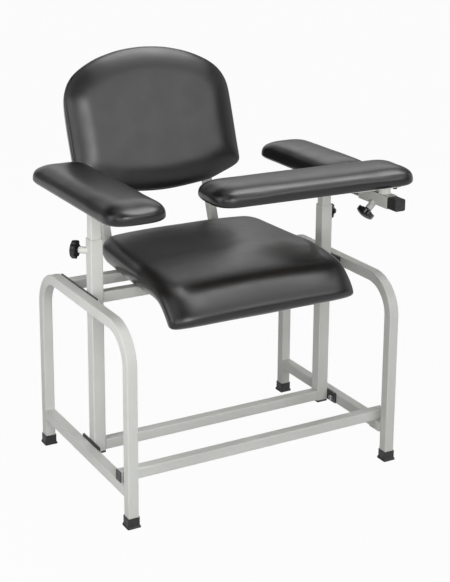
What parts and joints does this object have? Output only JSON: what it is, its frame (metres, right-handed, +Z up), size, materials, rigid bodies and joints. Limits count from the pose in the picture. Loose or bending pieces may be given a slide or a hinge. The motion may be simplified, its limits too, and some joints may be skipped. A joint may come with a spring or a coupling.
{
  "type": "phlebotomy chair",
  "caption": "Phlebotomy chair with a bent square-tube frame, a padded seat and back, a height-adjustable armrest and a swing-out crossing armrest.",
  "frame": {"origin": "on the floor, midway between the two side hoops and midway between their front and rear legs", "axes": "+X to the right of someone who looks at the chair from the front, +Y to the rear, +Z up"},
  "size_m": [0.7749, 0.7388, 0.957],
  "materials": {
    "frame_paint": "satin powder coat",
    "dark_paint": "satin black",
    "foot_rubber": "matte black",
    "black_plastic": "matte black",
    "knob_plastic": "satin black",
    "fastener_steel": "zinc plated",
    "black_steel": "black oxide",
    "plywood": "bare plywood",
    "vinyl": "glossy black vinyl"
  },
  "bodies": {
    "frame": {"left_side_hoop": "frame_paint", "right_side_hoop": "frame_paint", "left_lower_rail": "frame_paint", "right_lower_rail": "frame_paint", "front_left_foot": "foot_rubber", "front_right_foot": "foot_rubber", "rear_left_foot": "foot_rubber", "rear_right_foot": "foot_rubber", "front_stretcher": "frame_paint", "stretcher_end_plugs": "black_plastic", "stretcher_brackets": "frame_paint", "left_outer_post": "frame_paint", "right_outer_post": "frame_paint", "post_bottom_plugs": "black_plastic", "lower_cross_rail": "frame_paint", "seat_front_rail": "frame_paint", "seat_rear_rail": "frame_paint", "upper_mounting_plates": "dark_paint", "lower_mounting_plates": "dark_paint", "plate_bolts": "fastener_steel", "insert_nuts": "fastener_steel", "left_clamp_boss": "frame_paint", "right_clamp_boss": "frame_paint", "seat_board": "plywood", "seat_cushion": "vinyl", "seat_screws": "fastener_steel", "left_back_upright": "frame_paint", "right_back_upright": "frame_paint", "upright_plugs": "black_plastic", "back_board": "plywood", "back_cushion": "vinyl", "back_screws": "fastener_steel"},
    "left_arm": {"left_inner_post": "frame_paint", "left_arm_plate": "frame_paint", "left_arm_board": "plywood", "left_arm_cushion": "vinyl", "left_arm_screws": "fastener_steel"},
    "right_arm": {"right_inner_post": "frame_paint", "arm_bar": "frame_paint", "bar_ferrule": "foot_rubber", "bar_rear_plug": "black_plastic", "rear_arm_plate": "frame_paint", "rear_arm_board": "plywood", "rear_arm_cushion": "vinyl", "rear_arm_screws": "fastener_steel"},
    "cross_carriage": {"cross_sleeve": "frame_paint", "sleeve_clamp_boss": "frame_paint", "pivot_boss": "frame_paint", "pivot_bolt": "fastener_steel"},
    "cross_arm": {"cross_arm_plate": "frame_paint", "cross_arm_board": "plywood", "cross_arm_cushion": "vinyl", "cross_arm_bolts": "black_steel"},
    "left_clamp": {"left_knob": "knob_plastic", "left_stud": "fastener_steel"},
    "right_clamp": {"right_knob": "knob_plastic", "right_stud": "fastener_steel"},
    "cross_clamp": {"cross_knob": "knob_plastic", "cross_stud": "fastener_steel"}
  },
  "joints": [
    {"name": "left_arm_height", "type": "slide", "parent": "frame", "child": "left_arm", "axis": [0, 0, 1], "range_m": [-0.08, 0.1]},
    {"name": "right_arm_height", "type": "slide", "parent": "frame", "child": "right_arm", "axis": [0, 0, 1], "range_m": [-0.055, 0.1]},
    {"name": "cross_arm_reach", "type": "slide", "parent": "right_arm", "child": "cross_carriage", "axis": [0, 1, 0], "range_m": [0, 0.008]},
    {"name": "cross_arm_swing", "type": "hinge", "parent": "cross_carriage", "child": "cross_arm", "pos_m": [0.3123, -0.236, 0.693], "axis": [0, 0, 1], "range_deg": [0, 90]},
    {"name": "left_clamp_turn", "type": "hinge", "parent": "frame", "child": "left_clamp", "pos_m": [-0.3123, 0.0119, 0.56], "axis": [-0.7071, 0.7071, 0], "continuous": true},
    {"name": "right_clamp_turn", "type": "hinge", "parent": "frame", "child": "right_clamp", "pos_m": [0.3123, 0.0119, 0.56], "axis": [0.7071, 0.7071, 0], "continuous": true},
    {"name": "cross_clamp_turn", "type": "hinge", "parent": "cross_carriage", "child": "cross_clamp", "pos_m": [0.3123, -0.211, 0.662], "axis": [-0.7071, 0, -0.7071], "continuous": true}
  ]
}
